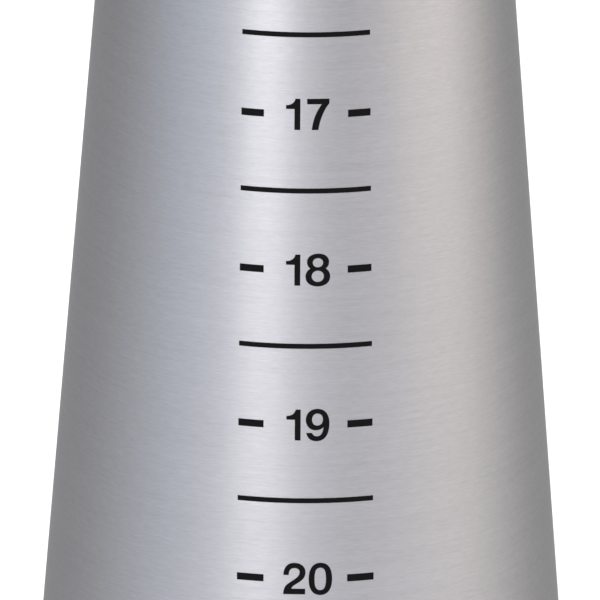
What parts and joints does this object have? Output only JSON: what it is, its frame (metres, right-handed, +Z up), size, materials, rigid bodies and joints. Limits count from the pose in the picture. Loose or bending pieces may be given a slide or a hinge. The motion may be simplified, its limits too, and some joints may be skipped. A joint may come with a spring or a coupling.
{
  "type": "bracelet sizing mandrel",
  "caption": "Hollow turned aluminium cone with a printed circumference scale, for measuring closed bracelets; cap, base plate and tie rod, on rubber feet.",
  "frame": {"origin": "on the cone's axis, in the plane that the feet stand on", "axes": "+Z up along the cone's axis towards the narrow end; the front of the printed scale faces -Y; +X to the right seen from the front"},
  "size_m": [0.0748, 0.0748, 0.19],
  "materials": {
    "turned_aluminium": "fine turned grooves round the axis, satin",
    "faced_aluminium": "faced, satin",
    "zinc_steel": "bright zinc plated",
    "black_rubber": "matt moulded",
    "scale_ink": "printed black ink, matt"
  },
  "bodies": {
    "root": {"cone_shell": "turned_aluminium", "top_cap": "turned_aluminium", "base_plate": "faced_aluminium", "tie_rod": "zinc_steel", "flat_washer": "zinc_steel", "spring_washer": "zinc_steel", "clamp_nut": "zinc_steel", "foot_screw_1": "zinc_steel", "foot_screw_2": "zinc_steel", "foot_screw_3": "zinc_steel", "foot_screw_4": "zinc_steel", "rubber_foot_1": "black_rubber", "rubber_foot_2": "black_rubber", "rubber_foot_3": "black_rubber", "rubber_foot_4": "black_rubber"}
  },
  "joints": []
}
